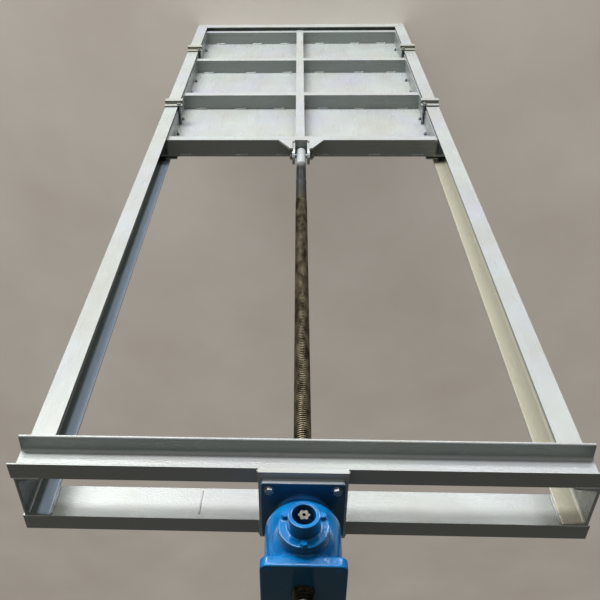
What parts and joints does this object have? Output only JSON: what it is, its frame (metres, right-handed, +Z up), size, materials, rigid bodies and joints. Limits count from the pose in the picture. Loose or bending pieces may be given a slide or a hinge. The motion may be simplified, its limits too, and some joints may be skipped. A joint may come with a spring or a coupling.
{
  "type": "sluice gate",
  "caption": "Steel channel frame with a ribbed leaf that slides in its grooves, lifted by a screw stem from a bevel gear hoist on the head.",
  "frame": {"origin": "centre of the sill's flat underside, midway between the posts and midway through their depth", "axes": "+Z up along the posts and the stem, -Y out of the front where the ribs and the crank drive show, +X to the viewer's right seen from the front"},
  "size_m": [1.412, 0.278, 4.342],
  "materials": {
    "frame_paint": "silver-grey semi-gloss paint",
    "leaf_paint": "silver-grey semi-gloss paint",
    "hoist_paint": "blue gloss paint on cast iron",
    "screw_steel": "bare steel, greased",
    "zinc_steel": "zinc plated",
    "rubber": "black"
  },
  "bodies": {
    "frame": {"left_post": "frame_paint", "right_post": "frame_paint", "sill": "frame_paint", "front_head_channel": "frame_paint", "back_head_channel": "frame_paint", "mounting_plate": "frame_paint", "hoist_housing": "hoist_paint", "hoist_top_cover": "hoist_paint", "input_cover": "hoist_paint"},
    "leaf": {"skin_plate": "leaf_paint", "middle_channel": "leaf_paint", "left_rib_1": "leaf_paint", "left_rib_2": "leaf_paint", "left_rib_3": "leaf_paint", "left_rib_4": "leaf_paint", "right_rib_1": "leaf_paint", "right_rib_2": "leaf_paint", "right_rib_3": "leaf_paint", "right_rib_4": "leaf_paint", "left_side_plate": "leaf_paint", "right_side_plate": "leaf_paint", "left_gusset": "leaf_paint", "right_gusset": "leaf_paint", "left_lug": "leaf_paint", "right_lug": "leaf_paint", "stem_pin": "zinc_steel", "stem": "screw_steel", "left_seal": "rubber", "right_seal": "rubber", "left_clamp_bar": "leaf_paint", "right_clamp_bar": "leaf_paint", "bottom_seal": "rubber", "bottom_clamp_bar": "leaf_paint", "lower_left_clip": "leaf_paint", "lower_right_clip": "leaf_paint", "upper_left_clip": "leaf_paint", "upper_right_clip": "leaf_paint", "clip_bolts": "zinc_steel"},
    "crank": {"input_shaft": "zinc_steel"}
  },
  "joints": [
    {"name": "leaf_lift", "type": "slide", "parent": "frame", "child": "leaf", "axis": [0, 0, 1], "range_m": [0, 1.75]},
    {"name": "crank_spin", "type": "hinge", "parent": "frame", "child": "crank", "pos_m": [0, -0.14, 4.159], "axis": [0, 1, 0], "range_deg": [0, 157500]}
  ],
  "couplings": [
    {"joint": "crank_spin", "follows": "leaf_lift", "rad_per_m": 1570.8}
  ]
}
